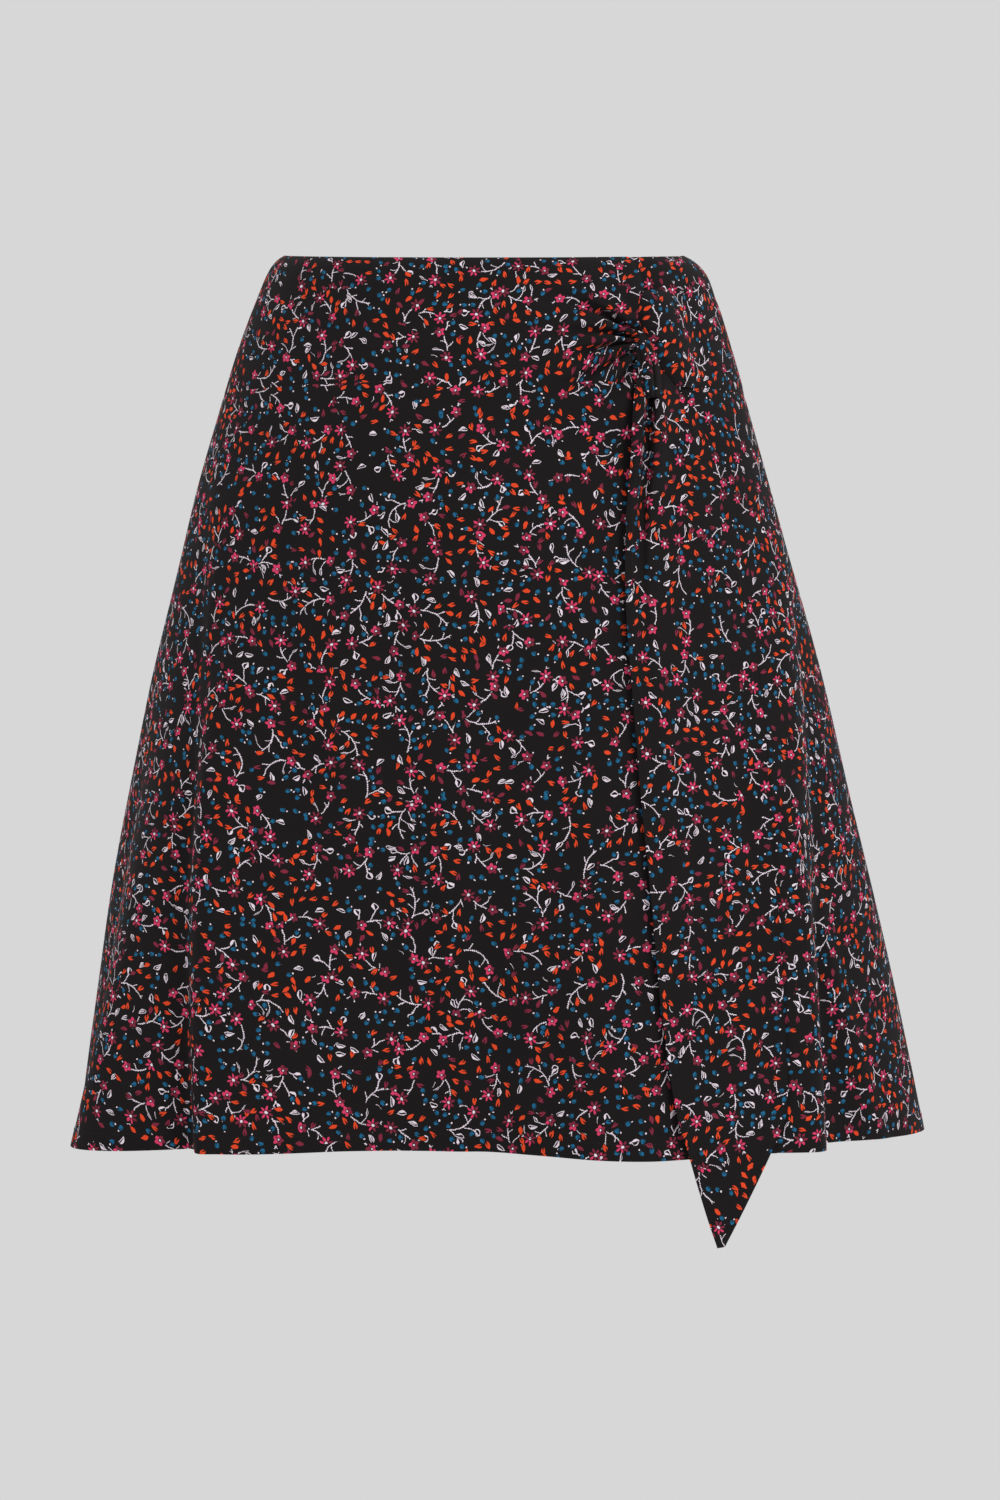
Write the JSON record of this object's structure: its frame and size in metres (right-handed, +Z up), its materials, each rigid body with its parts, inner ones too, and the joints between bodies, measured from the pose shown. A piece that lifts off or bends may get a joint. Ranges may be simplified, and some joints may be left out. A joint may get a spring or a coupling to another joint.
{
  "type": "wrap skirt",
  "caption": "Hollow wrap skirt with a deep fitted yoke, an overlapping flared front, and a tie knotted at the front with one wide slanted tail.",
  "frame": {"origin": "centre of the waist opening at the level of its rim", "axes": "+Z up, the front of the skirt faces -Y, the wearer's left side is +X"},
  "size_m": [0.5234, 0.362, 0.5923],
  "materials": {
    "printed_viscose": "matte plain-weave viscose, near black with a small all-over floral print"
  },
  "bodies": {
    "root": {"back_panel": "printed_viscose", "front_under_panel": "printed_viscose", "front_over_panel": "printed_viscose", "back_yoke": "printed_viscose", "front_under_yoke": "printed_viscose", "front_over_yoke": "printed_viscose", "tie_band": "printed_viscose", "tie_knot": "printed_viscose", "tie_tail": "printed_viscose"}
  },
  "joints": []
}
